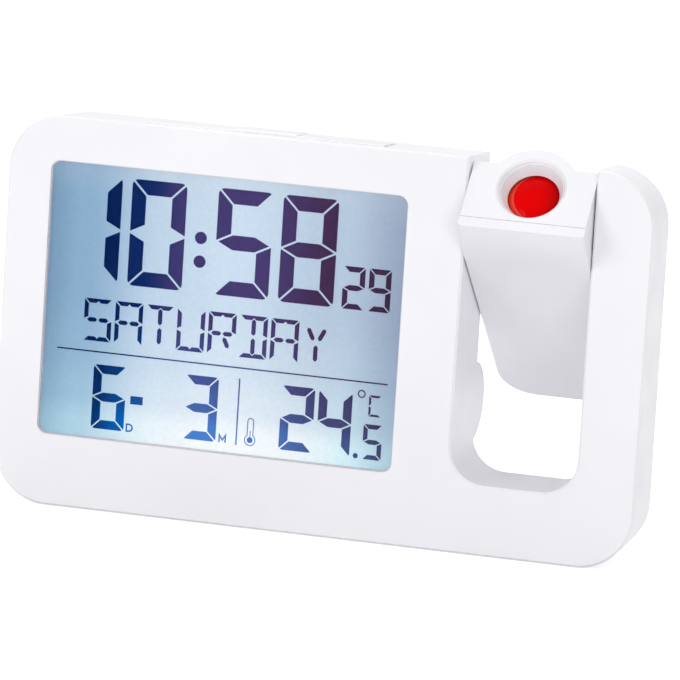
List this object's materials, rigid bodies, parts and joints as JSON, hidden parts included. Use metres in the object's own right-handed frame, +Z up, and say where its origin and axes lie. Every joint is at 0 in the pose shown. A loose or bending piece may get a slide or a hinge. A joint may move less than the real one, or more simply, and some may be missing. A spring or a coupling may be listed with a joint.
{
  "type": "projection alarm clock",
  "caption": "Upright desk alarm clock with a wide backlit display, an open slot at its right and a tilting projector arm with a red lens, snooze bar on top and a battery hump behind",
  "frame": {"origin": "middle of the base on the surface that the clock stands on", "axes": "+X to the right facing the display, +Y from the display to the back, +Z up"},
  "size_m": [0.188, 0.0701, 0.1148],
  "materials": {
    "white_casing": "fine satin moulded ABS, white",
    "white_arm": "fine satin moulded ABS, white",
    "white_key": "smooth moulded ABS, white",
    "white_ring": "smooth moulded ABS, white",
    "grey_key": "soft moulded silicone, pale grey",
    "clear_window": "clear flat acrylic, polished",
    "display_glass": "backlit liquid crystal panel, pale blue",
    "clear_guide": "clear acrylic light guide",
    "lamp_white": "white lamps on a strip",
    "black_rubber": "layered contact rubber",
    "grey_frame": "moulded frame, pale grey",
    "green_board": "printed circuit board, green",
    "black_resin": "black potting resin",
    "bright_steel": "nickel plated steel",
    "switch_grey": "small switch housings",
    "brass_disc": "brass piezo disc",
    "foot_rubber": "soft grey rubber",
    "cell_can": "plain green sleeve",
    "bush_nylon": "natural nylon",
    "lead_sheath": "thin black sheath",
    "black_cell": "matt black ABS",
    "red_lens": "clear red acrylic lens, polished",
    "slide_glass": "small dark liquid crystal slide",
    "condenser_clear": "clear condenser lens",
    "red_lamp": "red lamp"
  },
  "bodies": {
    "casing": {"front_shell": "white_casing", "rear_cover": "white_casing", "display_window": "clear_window", "lcd_panel": "display_glass", "light_guide": "clear_guide", "backlight_leds": "lamp_white", "contact_strip": "black_rubber", "display_frame": "grey_frame", "main_board": "green_board", "clock_chip": "black_resin", "crystal": "bright_steel", "key_switches": "switch_grey", "snooze_switch": "switch_grey", "switch_body": "switch_grey", "buzzer": "brass_disc", "temperature_sensor": "black_resin", "frame_screws": "bright_steel", "case_screws": "bright_steel", "rubber_feet": "foot_rubber", "battery_cells": "cell_can", "battery_contacts": "bright_steel", "pivot_bushes": "bush_nylon", "projector_lead": "lead_sheath"},
    "arm": {"arm_front_shell": "white_arm", "arm_rear_shell": "white_arm", "arm_screws": "bright_steel", "light_tunnel": "black_cell", "slide_display": "slide_glass", "condenser_lens": "condenser_clear", "projector_led": "red_lamp", "projector_board": "green_board", "pivot_clips": "bright_steel", "pivot_stub_left": "bush_nylon", "pivot_stub_right": "bush_nylon"},
    "focus_ring": {"focus_ring": "white_ring"},
    "lens_cell": {"lens_cell": "black_cell", "projection_lens": "red_lens"},
    "snooze_bar": {"snooze_bar": "white_key"},
    "alarm_slider": {"alarm_slider": "grey_key"},
    "battery_door": {"battery_door": "white_casing"},
    "alarm_key": {"alarm_key": "grey_key"},
    "time_key": {"time_key": "grey_key"},
    "plus_key": {"plus_key": "grey_key"},
    "minus_key": {"minus_key": "grey_key"},
    "projection_key": {"projection_key": "grey_key"}
  },
  "joints": [
    {"name": "arm_tilt", "type": "hinge", "parent": "casing", "child": "arm", "pos_m": [0.0586, 0.0024, 0.0905], "axis": [1, 0, 0], "range_deg": [-49.6, 40.4]},
    {"name": "focus_turn", "type": "hinge", "parent": "arm", "child": "focus_ring", "pos_m": [0.0586, 0.00279, 0.09096], "axis": [0, -0.7615, 0.6481], "range_deg": [-60, 60]},
    {"name": "lens_focus", "type": "slide", "parent": "arm", "child": "lens_cell", "axis": [0, -0.7615, 0.6481], "range_m": [-0.0006, 0.0006]},
    {"name": "snooze_press", "type": "slide", "parent": "casing", "child": "snooze_bar", "axis": [0, 0, -1], "range_m": [0, 0.0006], "stiffness_N_per_m": 1500, "springref_m": -0.0006},
    {"name": "alarm_slide", "type": "slide", "parent": "casing", "child": "alarm_slider", "axis": [1, 0, 0], "range_m": [0, 0.003]},
    {"name": "door_pull", "type": "slide", "parent": "casing", "child": "battery_door", "axis": [0, 1, 0], "range_m": [0, 0.02]},
    {"name": "alarm_press", "type": "slide", "parent": "casing", "child": "alarm_key", "axis": [0, -1, 0], "range_m": [0, 0.0006], "stiffness_N_per_m": 1200, "springref_m": -0.0004},
    {"name": "time_press", "type": "slide", "parent": "casing", "child": "time_key", "axis": [0, -1, 0], "range_m": [0, 0.0006], "stiffness_N_per_m": 1200, "springref_m": -0.0004},
    {"name": "plus_press", "type": "slide", "parent": "casing", "child": "plus_key", "axis": [0, -1, 0], "range_m": [0, 0.0006], "stiffness_N_per_m": 1200, "springref_m": -0.0004},
    {"name": "minus_press", "type": "slide", "parent": "casing", "child": "minus_key", "axis": [0, -1, 0], "range_m": [0, 0.0006], "stiffness_N_per_m": 1200, "springref_m": -0.0004},
    {"name": "projection_press", "type": "slide", "parent": "casing", "child": "projection_key", "axis": [0, -1, 0], "range_m": [0, 0.0006], "stiffness_N_per_m": 1200, "springref_m": -0.0004}
  ],
  "couplings": [
    {"joint": "focus_turn", "follows": "lens_focus", "rad_per_m": 1745}
  ]
}
